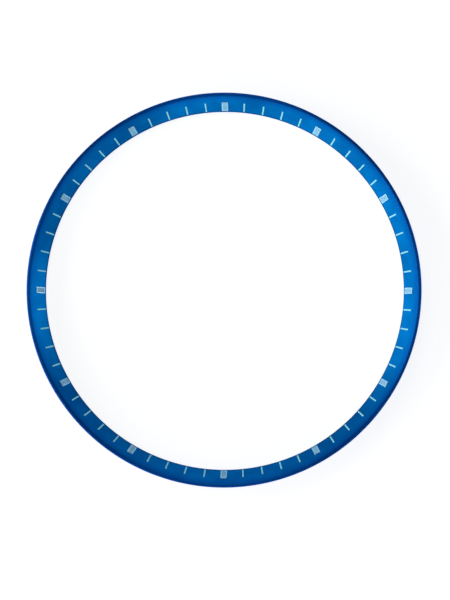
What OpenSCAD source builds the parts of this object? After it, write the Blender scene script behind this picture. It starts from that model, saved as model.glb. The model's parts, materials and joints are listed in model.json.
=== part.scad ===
// Chapter ring of a watch: a turned ring with a sloping inner face that carries
// twelve luminous hour marks in bevelled metal trays and forty-eight filled minute strokes.
// Millimetres. +Z is the ring's axis towards the crystal, +Y is twelve o'clock, and the
// origin is the centre of the flat underside that lies on the dial.

/* [Ring] */
// Diameter over the flange
outer_d = 30.5; // [30.2:0.1:31]
// Width of the ring from the flange's edge to the opening over the dial
ring_w = 1.4; // [1.3:0.02:1.5]
// Height from the underside to the top land
height = 2; // [1.8:0.1:2.2]
// Height of the flange that the case holds down
flange_t = 0.5; // [0.4:0.05:0.6]
// How far the flange stands out beyond the body
flange_step = 0.25; // [0.15:0.05:0.35]
// Bevel round the bottom of the body
foot_bevel = 0.1; // [0.05:0.01:0.15]
// Bevel along the underside of the flange and of the bore
edge_break = 0.04; // [0.02:0.01:0.06]

/* [Sloping face] */
// Height of the upright lip round the opening
lip_h = 0.4; // [0.36:0.01:0.45]
// Width of the flat land on top of the lip
lip_land = 0.05; // [0.03:0.01:0.08]
// Width from the flange's edge to where the slope would meet the top
rim_w = 0.28; // [0.26:0.01:0.36]
// Radius that rounds the slope into the top land
crest_r = 0.2; // [0.15:0.01:0.21]
// Radius round the top outer edge of the flange
rim_r = 0.12; // [0.08:0.01:0.14]

/* [Marks] */
// Length of every mark, up the slope
mark_l = 1.07; // [0.9:0.01:1.1]

/* [Hour marks] */
// Width of an hour tray
tray_w = 0.48; // [0.4:0.01:0.7]
// Distance from the foot of the slope to the trays
tray_start = 0.08; // [0.06:0.01:0.1]
// Depth of the pocket under the sloping face
pocket_depth = 0.1; // [0.08:0.01:0.12]
// Height of a tray above the sloping face
tray_proud = 0.05; // [0.03:0.01:0.06]
// Thickness of a tray's wall
tray_wall = 0.08; // [0.06:0.01:0.1]
// Thickness of a tray's floor
tray_floor = 0.03; // [0.02:0.01:0.04]
// Radius at a tray's four corners
tray_corner = 0.05; // [0.03:0.01:0.06]
// Polished bevel round the top of a tray
tray_bevel = 0.02; // [0.01:0.005:0.03]
// Gap left round a tray in its pocket
tray_fit = 0.01; // [0.005:0.001:0.012]
// How far the edge of the luminous fill stays below the tray's top
fill_recess = 0.015; // [0.01:0.005:0.02]
// Height of the fill's middle over its edge
fill_dome = 0.01; // [0.005:0.005:0.02]
// Radius at the four corners of a fill
fill_corner = 0.03; // [0.02:0.01:0.05]

/* [Minute strokes] */
// Width of a minute stroke
stroke_w = 0.11; // [0.09:0.01:0.16]
// Distance from the foot of the slope to the strokes, so that they line up with the trays from above
stroke_start = 0.015; // [0.01:0.005:0.03]
// Depth of the groove that holds a stroke
groove_depth = 0.04; // [0.03:0.01:0.06]
// Height of a stroke's middle above the sloping face
stroke_dome = 0.01; // [0.005:0.005:0.02]
// Radius at the four corners of a stroke
stroke_corner = 0.04; // [0.02:0.01:0.04]

/* [Locating notch] */
// Width of the notch, at six o'clock under the flange
notch_w = 0.8; // [0.6:0.1:1.2]
// Height of the notch from the underside
notch_h = 0.6; // [0.4:0.1:0.8]
// Depth of the notch into the body
notch_depth = 0.3; // [0.2:0.05:0.35]

/* [Hidden] */
$fn = 120;

hours = 12;
minutes = 60;
per_hour = minutes / hours;

outer_r = outer_d / 2;
bore_r = outer_r - ring_w;
body_r = outer_r - flange_step;
flange_z = height - flange_t;

// The slope runs from its foot, on the lip, to the corner that the crest rounds off.
foot = [bore_r + lip_land, lip_h];
crest = [outer_r - rim_w, height];
slope = crest - foot;
slope_angle = atan2(slope.y, slope.x);

// How far a cut runs past the face that it opens.
cut_clear = 0.1;

mark_start = function (minute) minute % per_hour == 0 ? tray_start : stroke_start;
two_digits = function (n) str(n < 10 ? "0" : "", n);
tray_name = function (hour) str("hour_tray_", two_digits(hour));
fill_name = function (hour) str("hour_fill_", two_digits(hour));
strokes_name = function (hour)
    str("minute_strokes_", two_digits((hour % hours) * per_hour + 1),
        "_to_", two_digits((hour % hours) * per_hour + per_hour - 1));

function unit(v) = v / norm(v);

// What a round of radius r takes off a corner whose sides leave along side_a and side_b.
module corner_waste(corner, side_a, side_b, r) {
    a = unit(side_a);
    b = unit(side_b);
    half = acos(a * b) / 2;
    run = r / tan(half);
    centre = corner + unit(a + b) * r / sin(half);
    difference() {
        polygon([corner, corner + a * run, centre, corner + b * run]);
        translate(centre) circle(r);
    }
}

// Section of the ring, radius across and height up.
module ring_section() {
    difference() {
        polygon([
            [bore_r + edge_break, 0],
            [bore_r, edge_break],
            [bore_r, lip_h],
            foot,
            crest,
            [outer_r, height],
            [outer_r, flange_z + edge_break],
            [outer_r - edge_break, flange_z],
            [body_r, flange_z],
            [body_r, foot_bevel],
            [body_r - foot_bevel, 0]
        ]);
        corner_waste(crest, -slope, [1, 0], crest_r);
        corner_waste([outer_r, height], [-1, 0], [0, -1], rim_r);
    }
}

// Sets children on the sloping face at a minute: X round the ring, Y up the slope from
// the mark's inner end, Z out of the face.
module on_slope(minute) {
    rotate([0, 0, -minute * 360 / minutes])
        translate([0, foot.x, foot.y])
            rotate([slope_angle, 0, 0])
                translate([0, mark_start(minute), 0])
                    children();
}

// A rectangle with round corners, centred on X and standing on it.
module round_rectangle(width, length, corner_r) {
    difference() {
        translate([-width / 2, 0]) square([width, length]);
        for (x = [-1, 1])
            for (y = [0, 1])
                corner_waste([x * width / 2, y * length], [-x, 0], [0, 1 - 2 * y], corner_r);
    }
}

// A block as long as a mark and of a given width, between two heights over the face. An
// inset makes it smaller on its four sides, and an inset below zero larger.
module mark_block(width, low, high, corner_r, inset = 0) {
    translate([0, inset, low])
        linear_extrude(high - low)
            round_rectangle(width - 2 * inset, mark_l - 2 * inset, corner_r);
}

// A mark's block whose top is domed across its width, from the height of its two sides.
module domed_block(width, low, side_top, dome, corner_r, inset = 0) {
    half = width / 2 - inset;
    dome_r = (half * half + dome * dome) / (2 * dome);
    intersection() {
        mark_block(width, low, side_top + dome, corner_r, inset);
        translate([0, mark_l + cut_clear, side_top + dome - dome_r])
            rotate([90, 0, 0])
                cylinder(r = dome_r, h = mark_l + 2 * cut_clear);
    }
}

// A bar whose two top edges are bevelled, along Y and centred on X.
module bevelled_bar(width, length, low, high, bevel) {
    half = width / 2;
    translate([0, length, 0])
        rotate([90, 0, 0])
            linear_extrude(length)
                polygon([
                    [-half, low],
                    [half, low],
                    [half, high - bevel],
                    [half - bevel, high],
                    [bevel - half, high],
                    [-half, high - bevel]
                ]);
}

// The tray's outside: its top edge is bevelled on all four sides and its corners are round.
module tray_block() {
    intersection() {
        bevelled_bar(tray_w, mark_l, -pocket_depth, tray_proud, tray_bevel);
        translate([-tray_w / 2, mark_l / 2, 0])
            rotate([0, 0, -90])
                bevelled_bar(mark_l, tray_w, -pocket_depth, tray_proud, tray_bevel);
        mark_block(tray_w, -pocket_depth, tray_proud, tray_corner);
    }
}

// What is cut for the mark at a minute: a pocket for a tray on the hour, or a groove.
module mark_cut(minute) {
    if (minute % per_hour == 0) {
        mark_block(tray_w, -pocket_depth, cut_clear, tray_corner + tray_fit, -tray_fit);
    } else {
        mark_block(stroke_w, -groove_depth, cut_clear, stroke_corner);
    }
}

module locating_notch() {
    translate([-notch_w / 2, -body_r - cut_clear, -cut_clear])
        cube([notch_w, notch_depth + cut_clear, notch_h + cut_clear]);
}

module ring_body() {
    color("#0b66b0")
        difference() {
            rotate_extrude() ring_section();
            for (minute = [0:minutes - 1])
                on_slope(minute)
                    mark_cut(minute);
            locating_notch();
        }
}

module hour_tray(hour) {
    color("#b8dcf4")
        on_slope(hour * per_hour)
            difference() {
                tray_block();
                mark_block(
                    tray_w, tray_floor - pocket_depth, cut_clear, fill_corner, tray_wall);
            }
}

module hour_fill(hour) {
    color("#a2d0ee")
        on_slope(hour * per_hour)
            domed_block(
                tray_w, tray_floor - pocket_depth, tray_proud - fill_recess, fill_dome,
                fill_corner, tray_wall);
}

module minute_strokes(hour) {
    color("#c4eafa")
        for (minute = [1:per_hour - 1])
            on_slope(hour * per_hour + minute)
                domed_block(stroke_w, -groove_depth, 0, stroke_dome, stroke_corner);
}

ring_body();
for (hour = [1:hours]) {
    hour_tray(hour);
    hour_fill(hour);
    minute_strokes(hour);
}
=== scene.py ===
"""Looks of a watch chapter ring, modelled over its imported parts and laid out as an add-on."""

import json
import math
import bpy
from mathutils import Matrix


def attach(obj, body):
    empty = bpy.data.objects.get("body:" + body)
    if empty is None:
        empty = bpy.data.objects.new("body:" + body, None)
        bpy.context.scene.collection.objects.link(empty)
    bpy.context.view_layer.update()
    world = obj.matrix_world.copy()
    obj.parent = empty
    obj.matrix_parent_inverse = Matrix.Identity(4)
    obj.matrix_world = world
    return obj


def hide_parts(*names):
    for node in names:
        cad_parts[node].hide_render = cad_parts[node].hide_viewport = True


bl_info = {
    "name": "Watch Chapter Ring",
    "version": (1, 0, 0),
    "blender": (4, 5, 0),
    "location": "View3D > Sidebar > Chapter Ring",
    "description": "Models and finishes a watch chapter ring with luminous hour marks",
    "category": "Add Mesh",
}

from types import SimpleNamespace

import bmesh
import bpy
from bpy.props import FloatProperty, FloatVectorProperty, IntProperty, PointerProperty
from bpy.types import Operator, Panel, PropertyGroup
from mathutils import Matrix, Vector

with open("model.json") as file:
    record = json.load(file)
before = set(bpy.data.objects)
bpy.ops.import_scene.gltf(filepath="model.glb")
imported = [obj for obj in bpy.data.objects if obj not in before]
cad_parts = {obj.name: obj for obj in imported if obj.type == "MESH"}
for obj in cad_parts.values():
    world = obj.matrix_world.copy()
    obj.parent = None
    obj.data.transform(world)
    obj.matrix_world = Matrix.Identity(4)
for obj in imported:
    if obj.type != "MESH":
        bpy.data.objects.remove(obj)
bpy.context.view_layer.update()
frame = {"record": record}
MOUNTS = {mount["name"]: mount for mount in frame["record"]["mounts"]}

# Pieces are modelled in millimetres, where the mesh tools work best, and then brought to metres.
MM = 0.001
# Two places closer than this, in millimetres, are the same.
SAME = 0.001
# How far a cutting block runs past the face that it opens, in millimetres.
CUT_CLEAR = 0.1
# How far the table lies below the ring, in millimetres, so that their faces don't coincide.
TABLE_DROP = 0.01
# A face looks up if its normal's Z is over the first of these, and is upright if under the second.
LOOKS_UP = 0.9
UPRIGHT = 0.1
# Faces round each upright corner of a block.
CORNER_STEPS = 4
# Edges that turn the section by less than this are dissolved.
STRAIGHT_ANGLE = math.radians(0.5)
# Faces that meet at less than this are shaded as one surface.
SMOOTH_ANGLE = math.radians(32)
BODY = "root"
HOURS = 12
MINUTES = 60
PER_HOUR = MINUTES // HOURS

# The photograph, in pixels: its size, the ring's outer circle and the centre of the lip's circle.
PHOTO_WIDTH = 450
PHOTO_HEIGHT = 600
RIM_CENTRE_PX = (223.76, 289.83)
RIM_RADIUS_PX = 197.75
LIP_CENTRE_PX = (224.58, 290.59)

# The soft boxes round the table: clock direction, elevation in degrees, height in metres and share
# of full power. The lowest are strips, which stand clear of the table.
LAMPS = (
    (2.8, 8, 0.1, 0.52),
    (4.4, 27, 0.25, 0.29),
    (5.8, 8, 0.1, 0.48),
    (7.0, 15, 0.25, 0.66),
    (8.2, 20, 0.25, 0.82),
    (9.4, 27, 0.25, 1.0),
    (11.8, 50, 0.25, 0.42),
)


def linear(hex_colour):
    """The linear colour of an sRGB hex value such as #0a62b4."""
    channels = [int(hex_colour[i : i + 2], 16) / 255 for i in (1, 3, 5)]
    return tuple(c / 12.92 if c <= 0.04045 else ((c + 0.055) / 1.055) ** 2.4 for c in channels)


def length(name, description, millimetres):
    """A length that a user can change, with its default in millimetres."""
    return FloatProperty(
        name=name,
        description=description,
        default=millimetres * MM,
        min=0,
        precision=5,
        unit="LENGTH",
    )


def colour(name, description, hex_colour):
    """A colour that a user can change, with its default as an sRGB hex value."""
    return FloatVectorProperty(
        name=name,
        description=description,
        default=linear(hex_colour),
        min=0,
        max=1,
        subtype="COLOR",
    )


def radius_of(mount):
    """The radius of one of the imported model's round mounts, in millimetres."""
    return MOUNTS[mount]["dims"]["r_mm"]


def height_of(mount):
    """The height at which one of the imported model's mounts lies, in millimetres."""
    return MOUNTS[mount]["pos_m"][2] / MM


class RingSizes(PropertyGroup):
    """Sizes of the turned ring."""

    outer_radius: length("Flange radius", "Radius over the flange", radius_of("case_flange"))
    body_radius: length("Body radius", "Radius under the flange", radius_of("case_body"))
    bore_radius: length("Opening radius", "Radius of the dial's opening", radius_of("dial_opening"))
    top: length("Height", "Height of the flat top land", height_of("crystal_land"))
    flange_bottom: length("Flange height", "Height of its underside", height_of("flange_seat"))
    lip_height: length("Lip height", "Height of the upright lip round the opening", 0.4)
    lip_land: length("Lip land", "Width of the flat land on top of the lip", 0.05)
    rim_width: length("Rim width", "Width from the flange's edge to the slope", 0.28)
    crest_round: length("Crest round", "Radius that rounds the slope into the top land", 0.2)
    rim_round: length("Rim round", "Radius round the top outer edge of the flange", 0.12)
    foot_bevel: length("Foot bevel", "Bevel round the bottom of the body", 0.1)
    edge_break: length("Edge break", "Bevel of the flange's and the opening's lower edges", 0.04)
    lip_break: length("Lip break", "Radius along the two edges of the lip's land", 0.008)
    notch_width: length("Notch width", "Width of the locating notch under the flange", 0.8)
    notch_height: length("Notch height", "Height of the locating notch", 0.6)
    notch_depth: length("Notch depth", "Depth of the locating notch into the body", 0.3)


class MarkSizes(PropertyGroup):
    """Sizes of the hour marks and the minute strokes."""

    mark_length: length("Mark length", "Length of every mark, up the slope", 1.07)
    tray_start: length("Tray start", "Distance from the slope's foot to the trays", 0.08)
    stroke_start: length("Stroke start", "Distance from the slope's foot to the strokes", 0.015)
    tray_width: length("Tray width", "Width of an hour tray", 0.48)
    tray_proud: length("Tray height", "Height of a tray above the sloping face", 0.05)
    tray_wall: length("Tray wall", "Thickness of a tray's wall", 0.08)
    tray_floor: length("Tray floor", "Thickness of a tray's floor", 0.03)
    tray_corner: length("Tray corner", "Radius at a tray's four corners", 0.05)
    tray_bevel: length("Tray bevel", "Round along the top of a tray", 0.02)
    tray_fit: length("Tray gap", "Gap left round a tray in its pocket", 0.01)
    pocket_depth: length("Pocket depth", "Depth of the pocket under the sloping face", 0.1)
    fill_recess: length("Fill recess", "How far the fill's edge stays below the tray's top", 0.015)
    fill_dome: length("Fill dome", "Height of the fill's middle over its edge", 0.01)
    fill_cell: length("Fill cell", "Size of the faces on a fill's top", 0.02)
    fill_grain: length("Fill grain", "Size of the grains on a fill's top", 0.03)
    grain_height: length("Grain height", "Height of the grains on a fill's top", 0.008)
    stroke_width: length("Stroke width", "Width of a minute stroke", 0.11)
    groove_depth: length("Groove depth", "Depth of the groove that holds a stroke", 0.04)
    stroke_dome: length("Stroke dome", "Height of a stroke's middle above the sloping face", 0.01)
    stroke_corner: length("Stroke corner", "Radius at a stroke's four corners", 0.04)


class Finishes(PropertyGroup):
    """Colours of the ring's finishes."""

    blue: colour("Blue plating", "Colour of the plated slope", "#0479c5")
    blue_deep: colour("Deep blue", "Colour where the slope's plating is thickest", "#036eb9")
    # Painted shade: a deeper, more violet blue that darkens the top land and the outside.
    rim_painted_shade: colour("Rim blue", "Colour of the plating on the top and the outside", "#0a54b0")
    # Wear and painted highlight: a lighter blue in patches along the edges, which also reads as a
    # glint.
    blue_worn_and_glint: colour("Worn blue", "Colour where the plating is thin, along the edges", "#3d8fcf")
    blue_edge: colour("Grazing blue", "Tint of the plating at a grazing angle", "#0888ff")
    tray: colour("Tray", "Colour of the satin trays", "#a8e0ff")
    lume: colour("Luminous fill", "Colour of the luminous fill", "#a2e2ff")
    grain: colour("Fill grain", "Colour of the fill's darker grains", "#84c4ee")
    enamel: colour("Enamel", "Colour of the minute strokes", "#98f0ff")
    table: colour("Table", "Colour of the table under the ring", "#a0a0a0")


class StageSettings(PropertyGroup):
    """Camera, lights and table."""

    camera_distance: FloatProperty(
        name="Camera distance",
        description="From the lens to the ring",
        default=0.6,
        min=0.1,
        unit="LENGTH",
    )
    camera_roll: FloatProperty(
        name="Camera roll",
        description="Turn of the picture round its middle",
        default=math.radians(0.19),
        subtype="ANGLE",
    )
    lamp_distance: FloatProperty(
        name="Lamp distance",
        description="From each soft box to the ring",
        default=0.5,
        min=0.1,
        unit="LENGTH",
    )
    lamp_width: FloatProperty(
        name="Lamp width",
        description="Width of each soft box",
        default=0.25,
        min=0.05,
        unit="LENGTH",
    )
    lamp_power: FloatProperty(
        name="Lamp power",
        description="Power of a full soft box",
        default=0.98,
        min=0,
        unit="POWER",
    )
    lamp_colour: colour("Lamp colour", "Colour of the light of the soft boxes", "#fffff4")
    room_light: FloatProperty(
        name="Room light",
        description="Strength of the light from the room",
        default=0.13,
        min=0,
    )
    room_colour: colour("Room colour", "Colour of the light from the room", "#bcd6ff")
    table_size: FloatProperty(
        name="Table size",
        description="Length of each side of the table",
        default=6,
        min=0.1,
        unit="LENGTH",
    )
    table_lift: FloatProperty(
        name="Table lift",
        description="How much the camera and reflections see the table raised towards white",
        default=0.84,
        min=0,
    )


def in_millimetres(group):
    """The group's lengths in millimetres, by name."""
    names = type(group).__annotations__
    return SimpleNamespace(**{name: getattr(group, name) / MM for name in names})


def sizes(context):
    """The ring's and the marks' sizes in millimetres, with the slope that they give."""
    ring = in_millimetres(context.scene.ring_sizes)
    marks = in_millimetres(context.scene.mark_sizes)
    ring.foot = Vector((ring.bore_radius + ring.lip_land, 0, ring.lip_height))
    ring.crest = Vector((ring.outer_radius - ring.rim_width, 0, ring.top))
    ring.slope = math.atan2(ring.crest.z - ring.foot.z, ring.crest.x - ring.foot.x)
    return ring, marks


def select_only(*pieces):
    """In object mode, selects these pieces and nothing else, with the first one active."""
    if bpy.context.mode != "OBJECT":
        bpy.ops.object.mode_set(mode="OBJECT")
    bpy.ops.object.select_all(action="DESELECT")
    for piece in pieces:
        piece.select_set(True)
    bpy.context.view_layer.objects.active = pieces[0]


def add(primitive, **settings):
    """Adds a primitive as a new object, with nothing else selected."""
    if bpy.context.mode != "OBJECT":
        bpy.ops.object.mode_set(mode="OBJECT")
    bpy.ops.object.select_all(action="DESELECT")
    primitive(**settings)
    return bpy.context.object


def edit(piece):
    """Opens a piece in edit mode, by itself."""
    select_only(piece)
    bpy.ops.object.mode_set(mode="EDIT")


def select(kind, test):
    """In edit mode, selects only the VERT, EDGE or FACE elements for which the test is true."""
    bpy.ops.mesh.select_mode(type=kind)
    bpy.ops.mesh.select_all(action="DESELECT")
    mesh = bmesh.from_edit_mesh(bpy.context.object.data)
    for element in {"VERT": mesh.verts, "EDGE": mesh.edges, "FACE": mesh.faces}[kind]:
        if test(element):
            element.select_set(True)
    mesh.select_flush_mode()
    bmesh.update_edit_mesh(bpy.context.object.data)


def middle(edge):
    """The middle of an edge."""
    return (edge.verts[0].co + edge.verts[1].co) / 2


def along(edge, axis):
    """Whether an edge runs along axis 0, 1 or 2."""
    run = edge.verts[1].co - edge.verts[0].co
    return abs(run[axis]) > run.length - SAME


def apply_place(piece):
    """Moves a piece's place, turn and scale into its mesh."""
    select_only(piece)
    bpy.ops.object.transform_apply()


def copy_at(piece, place):
    """A copy of the piece with its own mesh, set at a place."""
    select_only(piece)
    bpy.ops.object.duplicate()
    copy = bpy.context.object
    copy.matrix_world = place @ copy.matrix_world
    apply_place(copy)
    return copy


def joined(pieces):
    """These pieces as one."""
    select_only(*pieces)
    bpy.ops.object.join()
    return bpy.context.object


def discard(piece):
    """Deletes a piece that was only modelled to be copied or to cut with."""
    mesh = piece.data
    bpy.data.objects.remove(piece)
    bpy.data.meshes.remove(mesh)


def cut(piece, cutter):
    """Cuts the cutter's shape out of the piece."""
    select_only(piece)
    modifier = piece.modifiers.new("Cut", "BOOLEAN")
    modifier.object = cutter
    modifier.solver = "EXACT"
    bpy.ops.object.modifier_apply(modifier=modifier.name)
    discard(cutter)


def deliver(piece, name, material, nodes):
    """Brings a modelled piece to metres, parents it to the body's empty and hides the CAD nodes
    that it replaces.
    """
    piece.name = piece.data.name = name
    piece.scale = (MM, MM, MM)
    apply_place(piece)
    bpy.ops.object.shade_smooth_by_angle(angle=SMOOTH_ANGLE)
    piece.data.materials.clear()
    piece.data.materials.append(material)
    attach(piece, BODY)
    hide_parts(*nodes)


def draw_section(ring):
    """Draws the ring's section on the XZ plane in edit mode, with X as the radius."""
    width = ring.body_radius - ring.bore_radius
    section = add(
        bpy.ops.mesh.primitive_plane_add,
        size=1,
        location=(ring.bore_radius + width / 2, 0, ring.top / 2),
        rotation=(math.radians(90), 0, 0),
    )
    section.scale = (width, ring.top, 1)
    apply_place(section)
    edit(section)

    # The flange is drawn out of the upper part of the outer wall.
    bpy.ops.mesh.select_all(action="SELECT")
    bpy.ops.mesh.bisect(plane_co=(0, 0, ring.flange_bottom), plane_no=(0, 0, 1))
    select(
        "EDGE",
        lambda edge: along(edge, 2)
        and middle(edge).x > ring.body_radius - SAME
        and middle(edge).z > ring.flange_bottom,
    )
    bpy.ops.mesh.extrude_region_move(
        TRANSFORM_OT_translate={"value": (ring.outer_radius - ring.body_radius, 0, 0)}
    )

    # What lies above the lip and inside the slope goes.
    slope_normal = Vector((-math.sin(ring.slope), 0, math.cos(ring.slope)))
    bpy.ops.mesh.select_all(action="SELECT")
    bpy.ops.mesh.bisect(plane_co=ring.foot, plane_no=(0, 0, 1))
    bpy.ops.mesh.select_all(action="SELECT")
    bpy.ops.mesh.bisect(plane_co=ring.foot, plane_no=slope_normal)
    select(
        "FACE",
        lambda face: face.calc_center_median().z > ring.lip_height
        and (face.calc_center_median() - ring.foot).dot(slope_normal) > 0,
    )
    bpy.ops.mesh.delete(type="FACE")
    bpy.ops.mesh.select_all(action="SELECT")
    bpy.ops.mesh.dissolve_limited(angle_limit=STRAIGHT_ANGLE)
    return section


def round_corner(x, z, run, steps):
    """Rounds the section's corner at a radius and height, over a run along both of its sides."""
    select("VERT", lambda vert: abs(vert.co.x - x) < SAME and abs(vert.co.z - z) < SAME)
    bpy.ops.mesh.bevel(offset=run, segments=steps, affect="VERTICES")


def add_cube(width, long, low, high):
    """Adds a cube between two heights, centred on X and along Y from zero."""
    cube = add(bpy.ops.mesh.primitive_cube_add, size=1, location=(0, long / 2, (low + high) / 2))
    cube.scale = (width, long, high - low)
    apply_place(cube)
    return cube


def add_block(width, long, low, high, corner):
    """Adds a block in edit mode, centred on X, along Y from zero, with round upright corners."""
    block = add_cube(width, long, low, high)
    edit(block)
    select("EDGE", lambda edge: along(edge, 2))
    bpy.ops.mesh.bevel(offset=corner, segments=CORNER_STEPS, affect="EDGES")
    return block


def place_on_slope(ring, marks, minute):
    """A mark's place at a minute: its X round the ring, its Y up the slope, its Z out of it."""
    start = marks.stroke_start if minute % PER_HOUR else marks.tray_start
    return (
        Matrix.Rotation(-math.tau * minute / MINUTES, 4, "Z")
        @ Matrix.Translation((0, ring.foot.x, ring.foot.z))
        @ Matrix.Rotation(ring.slope, 4, "X")
        @ Matrix.Translation((0, start, 0))
    )


def cutters(ring, marks):
    """The twelve pockets, the forty-eight grooves and the notch, as one piece to cut with."""
    pocket = add_block(
        marks.tray_width + 2 * marks.tray_fit,
        marks.mark_length + 2 * marks.tray_fit,
        -marks.pocket_depth,
        CUT_CLEAR,
        marks.tray_corner + marks.tray_fit,
    )
    select_only(pocket)
    pocket.location.y = -marks.tray_fit
    apply_place(pocket)
    groove = add_block(
        marks.stroke_width, marks.mark_length, -marks.groove_depth, CUT_CLEAR, marks.stroke_corner
    )
    cuts = [
        copy_at(groove if minute % PER_HOUR else pocket, place_on_slope(ring, marks, minute))
        for minute in range(MINUTES)
    ]
    notch = add_block(
        ring.notch_width,
        ring.notch_depth + CUT_CLEAR,
        -CUT_CLEAR,
        ring.notch_height,
        ring.foot_bevel,
    )
    cuts.append(copy_at(notch, Matrix.Translation((0, -ring.body_radius - CUT_CLEAR, 0))))
    for template in (pocket, groove, notch):
        discard(template)
    return joined(cuts)


class CHAPTER_RING_OT_add_ring(Operator):
    """Turn the ring from its section and cut its pockets, grooves and notch"""

    bl_idname = "chapter_ring.add_ring"
    bl_label = "Add Ring"

    turning_steps: IntProperty(
        name="Turning steps", description="Faces round the ring", default=720, min=120, max=1440
    )
    crest_steps: IntProperty(
        name="Crest steps", description="Faces across the rounded crest", default=14, min=4, max=32
    )

    def execute(self, context):
        ring, marks = sizes(context)
        section = draw_section(ring)
        crest_run = ring.crest_round * math.tan(ring.slope / 2)
        # The corners of the section: radius, height, run along both sides, and faces across.
        for corner in (
            (ring.crest.x, ring.top, crest_run, self.crest_steps),
            (ring.outer_radius, ring.top, ring.rim_round, 6),
            (ring.outer_radius, ring.flange_bottom, ring.edge_break, 2),
            (ring.body_radius, 0, ring.foot_bevel, 3),
            (ring.bore_radius, 0, ring.edge_break, 2),
            (ring.bore_radius, ring.lip_height, ring.lip_break, 3),
            (ring.foot.x, ring.lip_height, ring.lip_break, 3),
        ):
            round_corner(*corner)
        bpy.ops.mesh.select_all(action="SELECT")
        bpy.ops.mesh.delete(type="ONLY_FACE")
        bpy.ops.mesh.select_all(action="SELECT")
        bpy.ops.mesh.spin(
            steps=self.turning_steps, angle=math.tau, center=(0, 0, 0), axis=(0, 0, 1)
        )
        bpy.ops.mesh.select_all(action="SELECT")
        bpy.ops.mesh.remove_doubles(threshold=SAME)
        bpy.ops.mesh.normals_make_consistent(inside=False)
        cut(section, cutters(ring, marks))
        deliver(section, "ring", blue_plated_steel(context), ["ring_body"])
        return {"FINISHED"}


class CHAPTER_RING_OT_add_trays(Operator):
    """Model an hour tray and set it in the twelve pockets"""

    bl_idname = "chapter_ring.add_trays"
    bl_label = "Add Hour Trays"

    def execute(self, context):
        ring, marks = sizes(context)
        low, high = -marks.pocket_depth, marks.tray_proud
        half = marks.tray_width / 2
        tray = add_cube(marks.tray_width, marks.mark_length, low, high)
        edit(tray)
        select("FACE", lambda face: face.normal.z > LOOKS_UP)
        bpy.ops.mesh.inset(thickness=marks.tray_wall)
        bpy.ops.mesh.extrude_region_move(
            TRANSFORM_OT_translate={"value": (0, 0, low + marks.tray_floor - high)}
        )
        select("EDGE", lambda edge: along(edge, 2) and abs(middle(edge).x) > half - SAME)
        bpy.ops.mesh.bevel(offset=marks.tray_corner, segments=5, affect="EDGES")
        select(
            "EDGE",
            lambda edge: along(edge, 2)
            and abs(middle(edge).x) < half - marks.tray_wall + SAME
            and middle(edge).z > low + marks.tray_floor + SAME,
        )
        bpy.ops.mesh.bevel(offset=marks.tray_corner / 2, segments=4, affect="EDGES")
        select("EDGE", lambda edge: on_outer_rim(edge, high))
        bpy.ops.mesh.bevel(offset=marks.tray_bevel, segments=4, affect="EDGES")
        # Once the outer rim is round, only the window's rim joins the top to upright faces.
        select("EDGE", lambda edge: rim_faces(edge, high))
        bpy.ops.mesh.bevel(offset=marks.tray_bevel / 2, segments=3, affect="EDGES")
        for hour in range(1, HOURS + 1):
            name = f"hour_tray_{hour:02d}"
            copy = copy_at(tray, place_on_slope(ring, marks, hour * PER_HOUR))
            deliver(copy, f"{name}_satin", satin_rhodium(context), [name])
        discard(tray)
        return {"FINISHED"}


def rim_faces(edge, high):
    """The face on top and the upright face that an edge at a height joins, or None."""
    tops = [face for face in edge.link_faces if face.normal.z > LOOKS_UP]
    sides = [face for face in edge.link_faces if abs(face.normal.z) < UPRIGHT]
    if len(tops) != 1 or len(sides) != 1 or middle(edge).z < high - SAME:
        return None
    return tops[0], sides[0]


def on_outer_rim(edge, high):
    """Whether an edge at a height runs round the outside of the face on top."""
    faces = rim_faces(edge, high)
    if faces is None:
        return False
    top, side = faces
    return (middle(edge) - top.calc_center_median()).dot(side.normal) > 0


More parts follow.
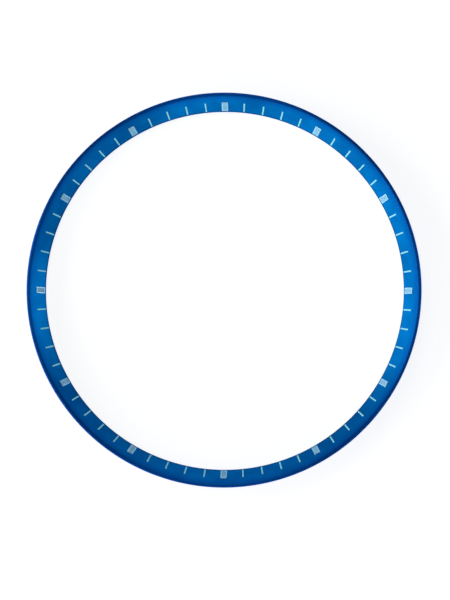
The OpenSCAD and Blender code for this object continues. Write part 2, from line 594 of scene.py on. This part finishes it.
class CHAPTER_RING_OT_add_fills(Operator):
    """Model a tray's luminous fill and set it in the twelve trays"""

    bl_idname = "chapter_ring.add_fills"
    bl_label = "Add Hour Fills"

    dome_steps: IntProperty(
        name="Dome steps",
        description="Faces from a fill's edge to its full height",
        default=5,
        min=1,
        max=8,
    )

    def execute(self, context):
        ring, marks = sizes(context)
        width = marks.tray_width - 2 * marks.tray_wall
        long = marks.mark_length - 2 * marks.tray_wall
        top = marks.tray_proud - marks.fill_recess
        floor = marks.tray_floor - marks.pocket_depth
        centre = Vector((0, marks.mark_length / 2, top))
        fill = add(
            bpy.ops.mesh.primitive_grid_add,
            size=1,
            x_subdivisions=round(width / marks.fill_cell),
            y_subdivisions=round(long / marks.fill_cell),
            location=centre,
        )
        fill.scale = (width, long, 1)
        apply_place(fill)
        edit(fill)
        select("EDGE", lambda edge: edge.is_boundary)
        bpy.ops.mesh.extrude_region_move(TRANSFORM_OT_translate={"value": (0, 0, floor - top)})
        bpy.ops.mesh.edge_face_add()
        bpy.ops.mesh.select_all(action="SELECT")
        bpy.ops.mesh.normals_make_consistent(inside=False)

        # The dome rises step by step from the edge, less at each step.
        for step in range(1, self.dome_steps + 1):
            inset = step * marks.fill_cell - SAME
            rise = marks.fill_dome * (2 * (self.dome_steps - step) + 1) / self.dome_steps**2
            select(
                "VERT",
                lambda vert: abs(vert.co.x) < width / 2 - inset
                and abs(vert.co.y - centre.y) < long / 2 - inset
                and vert.co.z > top - SAME,
            )
            bpy.ops.transform.translate(value=(0, 0, rise))
        bpy.ops.object.mode_set(mode="OBJECT")
        grains = fill.vertex_groups.new(name="grains")
        raised = [vert.index for vert in fill.data.vertices if vert.co.z > top + SAME]
        grains.add(raised, 1, "REPLACE")
        texture = bpy.data.textures.new("lume_grains", "CLOUDS")
        texture.noise_scale = marks.fill_grain
        texture.noise_depth = 2
        for hour in range(1, HOURS + 1):
            name = f"hour_fill_{hour:02d}"
            copy = copy_at(fill, place_on_slope(ring, marks, hour * PER_HOUR))
            displace = copy.modifiers.new("Grains", "DISPLACE")
            displace.texture = texture
            displace.vertex_group = grains.name
            displace.strength = marks.grain_height
            bpy.ops.object.modifier_apply(modifier=displace.name)
            deliver(copy, f"{name}_lume", luminous_paint(context), [name])
        discard(fill)
        return {"FINISHED"}


class CHAPTER_RING_OT_add_strokes(Operator):
    """Model a minute stroke and set it in the forty-eight grooves"""

    bl_idname = "chapter_ring.add_strokes"
    bl_label = "Add Minute Strokes"

    def execute(self, context):
        ring, marks = sizes(context)
        stroke = add_block(
            marks.stroke_width, marks.mark_length, -marks.groove_depth, 0, marks.stroke_corner
        )
        # The enamel stands over the face in two steps, of which the second is flatter. Each is two
        # fifths of the corners' radius wide.
        select("FACE", lambda face: face.normal.z > LOOKS_UP)
        for share in (0.7, 0.3):
            bpy.ops.mesh.inset(
                thickness=marks.stroke_corner * 0.4, depth=marks.stroke_dome * share
            )
        for hour in range(HOURS):
            minutes = range(hour * PER_HOUR + 1, (hour + 1) * PER_HOUR)
            name = f"minute_strokes_{minutes[0]:02d}_to_{minutes[-1]:02d}"
            group = joined(
                [copy_at(stroke, place_on_slope(ring, marks, minute)) for minute in minutes]
            )
            deliver(group, f"{name}_enamel", white_enamel(context), [name])
        discard(stroke)
        return {"FINISHED"}


def new_material(name):
    """A new material with its node tree and its shader."""
    material = bpy.data.materials.new(name)
    material.use_nodes = True
    tree = material.node_tree
    return material, tree, tree.nodes["Principled BSDF"]


def add_node(tree, kind, inputs=(), **settings):
    """Adds a node with its settings. Each input has a value, or another node's output to link."""
    node = tree.nodes.new(kind)
    for name, value in settings.items():
        setattr(node, name, value)
    for name, value in dict(inputs).items():
        if isinstance(value, bpy.types.NodeSocket):
            tree.links.new(value, node.inputs[name])
        else:
            node.inputs[name].default_value = value
    return node


def rgba(tint):
    """A colour as a node takes it, with its alpha."""
    return (*tint, 1)


def once(make):
    """Makes a material the first time that it is asked for."""
    made = []

    def material(context):
        if not made:
            made.append(make(context))
        return made[0]

    return material


def spread_gloss_across_turning(tree, shader, place):
    """Spreads a metal's gloss across marks that run round the ring, and little along them."""
    turn = add_node(
        tree, "ShaderNodeVectorMath", {0: (0, 0, 1), 1: place}, operation="CROSS_PRODUCT"
    )
    round_axis = add_node(
        tree, "ShaderNodeVectorMath", {0: turn.outputs[0]}, operation="NORMALIZE"
    )
    tree.links.new(round_axis.outputs[0], shader.inputs["Tangent"])
    shader.inputs["Anisotropic"].default_value = 0.8
    # A quarter turn from the tangent lays the spread across the marks.
    shader.inputs["Anisotropic Rotation"].default_value = 0.25


@once
def blue_plated_steel(context):
    """Steel turned with a fine feed and plated blue.

    The plated film tints what the metal mirrors, so its gloss is blue and never white. The turning
    marks spread the gloss across them and little along them, which keeps the light's sharp changes
    round the ring. At a grazing angle the film turns a brighter blue."""
    material, tree, shader = new_material("blue_plated_steel")
    ring, _ = sizes(context)
    finish = context.scene.finishes
    shader.inputs["Metallic"].default_value = 1
    shader.inputs["Specular Tint"].default_value = rgba(finish.blue_edge)
    place = add_node(tree, "ShaderNodeTexCoord").outputs["Object"]
    spread_gloss_across_turning(tree, shader, place)

    # A point's place in the ring's section: its radius as X and its height as Z.
    height = add_node(tree, "ShaderNodeSeparateXYZ", {0: place}).outputs["Z"]
    flat = add_node(tree, "ShaderNodeVectorMath", {0: place, 1: (1, 1, 0)}, operation="MULTIPLY")
    radius = add_node(
        tree, "ShaderNodeVectorMath", {0: flat.outputs[0]}, operation="LENGTH"
    ).outputs["Value"]
    in_section = add_node(tree, "ShaderNodeCombineXYZ", {"X": radius, "Z": height}).outputs[0]

    # The film is a little thicker in some places, which deepens its blue.
    clouds = add_node(
        tree, "ShaderNodeTexNoise", {"Vector": place, "Scale": 1 / (1.4 * MM), "Detail": 3}
    )
    thick = add_node(
        tree,
        "ShaderNodeMapRange",
        {"Value": clouds.outputs["Fac"], "From Min": 0.35, "From Max": 0.65},
    )
    film = add_node(
        tree,
        "ShaderNodeMix",
        {"Factor": thick.outputs[0], "A": rgba(finish.blue), "B": rgba(finish.blue_deep)},
        data_type="RGBA",
    )

    # Painted shade: from the flange's edge inwards over this width, in millimetres, the blue turns
    # deeper and more violet, which darkens the top land and the outside as a dark reflection would.
    painted_shade_width = 0.75
    painted_shade_band = add_node(
        tree,
        "ShaderNodeMapRange",
        {
            "Value": radius,
            "From Min": (ring.outer_radius - painted_shade_width) * MM,
            "From Max": ring.outer_radius * MM,
        },
        interpolation_type="SMOOTHSTEP",
    )
    turned = add_node(
        tree,
        "ShaderNodeMix",
        {"Factor": painted_shade_band.outputs[0], "A": film.outputs["Result"], "B": rgba(finish.rim_painted_shade)},
        data_type="RGBA",
    )

    # Wear and painted highlight: a lighter blue in patches along three edges, most within 0.02 mm
    # of them and not at all beyond 0.06 mm, which also draws a bright line along them as a glint
    # would.
    worn_and_glinting_edges = (
        (ring.outer_radius, ring.top),
        (ring.outer_radius, ring.flange_bottom),
        (ring.bore_radius, ring.lip_height),
    )
    gaps = [
        add_node(
            tree,
            "ShaderNodeVectorMath",
            {0: in_section, 1: (edge_radius * MM, 0, edge_height * MM)},
            operation="DISTANCE",
        ).outputs["Value"]
        for edge_radius, edge_height in worn_and_glinting_edges
    ]
    nearest = gaps[0]
    for gap in gaps[1:]:
        nearest = add_node(
            tree, "ShaderNodeMath", {0: nearest, 1: gap}, operation="MINIMUM"
        ).outputs[0]
    by_an_edge = add_node(
        tree,
        "ShaderNodeMapRange",
        {
            "Value": nearest,
            "From Min": 0.02 * MM,
            "From Max": 0.06 * MM,
            "To Min": 1,
            "To Max": 0,
        },
    )
    patches = add_node(
        tree, "ShaderNodeTexNoise", {"Vector": place, "Scale": 1 / (0.5 * MM), "Detail": 4}
    )
    patchy = add_node(
        tree,
        "ShaderNodeMapRange",
        {"Value": patches.outputs["Fac"], "From Min": 0.4, "From Max": 0.7, "To Max": 0.6},
    )
    wear_and_glint = add_node(
        tree,
        "ShaderNodeMath",
        {0: by_an_edge.outputs[0], 1: patchy.outputs[0]},
        operation="MULTIPLY",
    )
    plated = add_node(
        tree,
        "ShaderNodeMix",
        {"Factor": wear_and_glint.outputs[0], "A": turned.outputs["Result"], "B": rgba(finish.blue_worn_and_glint)},
        data_type="RGBA",
    )
    tree.links.new(plated.outputs["Result"], shader.inputs["Base Color"])

    # Turning marks run round the ring, so they vary only across the section. The real feed is about
    # 0.015 mm, and they are drawn at 0.05 mm so that they show.
    across = add_node(tree, "ShaderNodeMath", {0: radius, 1: height}, operation="ADD")
    feed = add_node(
        tree,
        "ShaderNodeTexNoise",
        {"W": across.outputs[0], "Scale": 1 / (0.05 * MM), "Detail": 2},
        noise_dimensions="1D",
    ).outputs["Fac"]
    rough = add_node(
        tree, "ShaderNodeMapRange", {"Value": feed, "To Min": 0.44, "To Max": 0.56}
    )
    tree.links.new(rough.outputs[0], shader.inputs["Roughness"])
    bump = add_node(
        tree, "ShaderNodeBump", {"Height": feed, "Strength": 0.2, "Distance": 0.003 * MM}
    )
    tree.links.new(bump.outputs[0], shader.inputs["Normal"])
    return material


@once
def satin_rhodium(context):
    """Rhodium-plated brass, brushed round the ring: pale, its gloss spread across the brushing."""
    material, tree, shader = new_material("satin_rhodium")
    shader.inputs["Base Color"].default_value = rgba(context.scene.finishes.tray)
    shader.inputs["Metallic"].default_value = 1
    place = add_node(tree, "ShaderNodeTexCoord").outputs["Object"]
    spread_gloss_across_turning(tree, shader, place)

    # The real brushing is far finer, and only its haze is drawn, which varies over about 0.1 mm.
    haze = add_node(
        tree, "ShaderNodeTexNoise", {"Vector": place, "Scale": 1 / (0.1 * MM), "Detail": 3}
    )
    rough = add_node(
        tree,
        "ShaderNodeMapRange",
        {"Value": haze.outputs["Fac"], "To Min": 0.42, "To Max": 0.54},
    )
    tree.links.new(rough.outputs[0], shader.inputs["Roughness"])
    return material


@once
def luminous_paint(context):
    """Luminous paint, poured and cured: crystals in a clear binder, pale, matte and granular.

    The real crystals are about 0.03 mm, and they are drawn at 0.06 mm so that they show."""
    material, tree, shader = new_material("luminous_paint")
    finish = context.scene.finishes
    place = add_node(tree, "ShaderNodeTexCoord").outputs["Object"]
    crystals = add_node(
        tree, "ShaderNodeTexVoronoi", {"Vector": place, "Scale": 1 / (0.06 * MM)}
    ).outputs["Distance"]
    speckle = add_node(
        tree, "ShaderNodeMapRange", {"Value": crystals, "From Min": 0.1, "From Max": 0.7}
    )
    granular = add_node(
        tree,
        "ShaderNodeMix",
        {"Factor": speckle.outputs[0], "A": rgba(finish.lume), "B": rgba(finish.grain)},
        data_type="RGBA",
    )
    tree.links.new(granular.outputs["Result"], shader.inputs["Base Color"])
    shader.inputs["Roughness"].default_value = 0.8
    bump = add_node(
        tree,
        "ShaderNodeBump",
        {"Height": crystals, "Strength": 0.5, "Distance": 0.01 * MM},
        invert=True,
    )
    tree.links.new(bump.outputs[0], shader.inputs["Normal"])
    return material


@once
def white_enamel(context):
    """White enamel wiped into the grooves and baked: opaque and smooth, with a soft gloss."""
    material, tree, shader = new_material("white_enamel")
    shader.inputs["Base Color"].default_value = rgba(context.scene.finishes.enamel)
    place = add_node(tree, "ShaderNodeTexCoord").outputs["Object"]

    # Wiping leaves its gloss uneven over about 0.1 mm.
    wiped = add_node(
        tree, "ShaderNodeTexNoise", {"Vector": place, "Scale": 1 / (0.1 * MM), "Detail": 2}
    )
    rough = add_node(
        tree,
        "ShaderNodeMapRange",
        {"Value": wiped.outputs["Fac"], "To Min": 0.3, "To Max": 0.5},
    )
    tree.links.new(rough.outputs[0], shader.inputs["Roughness"])
    return material


def add_soft_box(stage, clock, elevation, height, share):
    """Adds a soft box at a clock direction and an elevation, which faces the ring."""
    turn, rise = math.radians(360 / HOURS * clock), math.radians(elevation)
    towards = Vector(
        (math.sin(turn) * math.cos(rise), math.cos(turn) * math.cos(rise), math.sin(rise))
    )
    box = add(bpy.ops.object.light_add, type="AREA", location=towards * stage.lamp_distance)
    box.name = f"soft_box_{clock:.1f}"
    box.rotation_euler = towards.to_track_quat("Z", "Y").to_euler()
    box.data.color = stage.lamp_colour
    box.data.shape = "RECTANGLE"
    box.data.size = stage.lamp_width
    box.data.size_y = height
    box.data.energy = stage.lamp_power * share


class CHAPTER_RING_OT_add_stage(Operator):
    """Lay the table, light it and stand the camera where the photograph was taken"""

    bl_idname = "chapter_ring.add_stage"
    bl_label = "Add Stage"

    def execute(self, context):
        stage = context.scene.stage_settings
        self.lay_table(context, stage)
        self.light_room(context, stage)
        for lamp in LAMPS:
            add_soft_box(stage, *lamp)
        self.stand_camera(context, stage)
        context.scene.view_settings.view_transform = "Standard"
        return {"FINISHED"}

    def lay_table(self, context, stage):
        """A wide pale table, raised to white for the camera and reflections, that keeps shadows."""
        table = add(
            bpy.ops.mesh.primitive_plane_add,
            size=stage.table_size,
            location=(0, 0, -TABLE_DROP * MM),
        )
        table.name = "table"
        material, tree, shader = new_material("pale_table")
        shader.inputs["Base Color"].default_value = rgba(context.scene.finishes.table)
        shader.inputs["Roughness"].default_value = 0.9
        rays = add_node(tree, "ShaderNodeLightPath").outputs
        seen = rays["Is Camera Ray"]
        for kind in ("Is Glossy Ray", "Is Transmission Ray"):
            seen = add_node(
                tree, "ShaderNodeMath", {0: seen, 1: rays[kind]}, operation="MAXIMUM"
            ).outputs[0]
        lift = add_node(
            tree, "ShaderNodeMath", {0: seen, 1: stage.table_lift}, operation="MULTIPLY"
        )
        tree.links.new(lift.outputs[0], shader.inputs["Emission Strength"])
        shader.inputs["Emission Color"].default_value = (1, 1, 1, 1)

        # Seen from below it is clear, so that the ring's underside shows.
        below = add_node(tree, "ShaderNodeNewGeometry").outputs["Backfacing"]
        clear = add_node(tree, "ShaderNodeBsdfTransparent")
        faces = add_node(
            tree, "ShaderNodeMixShader", {0: below, 1: shader.outputs[0], 2: clear.outputs[0]}
        )
        tree.links.new(faces.outputs[0], tree.nodes["Material Output"].inputs["Surface"])
        table.data.materials.append(material)

    def light_room(self, context, stage):
        """The even, dim and slightly cool light of the room."""
        world = bpy.data.worlds.new("room")
        context.scene.world = world
        world.use_nodes = True
        background = world.node_tree.nodes["Background"]
        background.inputs["Color"].default_value = rgba(stage.room_colour)
        background.inputs["Strength"].default_value = stage.room_light

    def stand_camera(self, context, stage):
        """A long lens nearly over the ring, which frames it as the photograph does."""
        ring, _ = sizes(context)
        per_px = ring.outer_radius * MM / RIM_RADIUS_PX
        drop = (ring.top - ring.lip_height) * MM
        aim = Vector((
            (PHOTO_WIDTH / 2 - RIM_CENTRE_PX[0]) * per_px,
            (RIM_CENTRE_PX[1] - PHOTO_HEIGHT / 2) * per_px,
            ring.top * MM,
        ))
        back = Vector((
            (LIP_CENTRE_PX[0] - RIM_CENTRE_PX[0]) * per_px,
            (RIM_CENTRE_PX[1] - LIP_CENTRE_PX[1]) * per_px,
            drop,
        )).normalized()
        camera = add(bpy.ops.object.camera_add, location=aim + back * stage.camera_distance)
        camera.name = "camera"
        right = Vector((0, 1, 0)).cross(back).normalized()
        level = Matrix((right, back.cross(right), back)).transposed()
        camera.rotation_euler = (level @ Matrix.Rotation(stage.camera_roll, 3, "Z")).to_euler()
        picture_height = PHOTO_HEIGHT * per_px
        camera.data.lens = camera.data.sensor_width * stage.camera_distance / picture_height
        camera.data.clip_start = 0.01
        camera.data.clip_end = 10
        context.scene.camera = camera


class CHAPTER_RING_PT_panel(Panel):
    """Lists the steps that build the ring, and its settings"""

    bl_label = "Chapter Ring"
    bl_idname = "CHAPTER_RING_PT_panel"
    bl_space_type = "VIEW_3D"
    bl_region_type = "UI"
    bl_category = "Chapter Ring"

    def draw(self, context):
        for operator in OPERATORS:
            self.layout.operator(operator.bl_idname)
        for settings in SETTINGS:
            box = self.layout.box()
            group = getattr(context.scene, settings)
            for name in type(group).__annotations__:
                box.prop(group, name)


OPERATORS = (
    CHAPTER_RING_OT_add_ring,
    CHAPTER_RING_OT_add_trays,
    CHAPTER_RING_OT_add_fills,
    CHAPTER_RING_OT_add_strokes,
    CHAPTER_RING_OT_add_stage,
)
SETTINGS = {
    "ring_sizes": RingSizes,
    "mark_sizes": MarkSizes,
    "finishes": Finishes,
    "stage_settings": StageSettings,
}


def register():
    """Adds the ring's settings, operators and panel to Blender."""
    for group in SETTINGS.values():
        bpy.utils.register_class(group)
    for name, group in SETTINGS.items():
        setattr(bpy.types.Scene, name, PointerProperty(type=group))
    for operator in OPERATORS:
        bpy.utils.register_class(operator)
    bpy.utils.register_class(CHAPTER_RING_PT_panel)


def unregister():
    """Takes the ring's panel, operators and settings out of Blender."""
    bpy.utils.unregister_class(CHAPTER_RING_PT_panel)
    for operator in reversed(OPERATORS):
        bpy.utils.unregister_class(operator)
    for name in SETTINGS:
        delattr(bpy.types.Scene, name)
    for group in reversed(SETTINGS.values()):
        bpy.utils.unregister_class(group)


def main():
    """Builds the ring and its stage."""
    register()
    bpy.ops.chapter_ring.add_ring()
    bpy.ops.chapter_ring.add_trays()
    bpy.ops.chapter_ring.add_fills()
    bpy.ops.chapter_ring.add_strokes()
    bpy.ops.chapter_ring.add_stage()


if __name__ == "__main__":
    main()
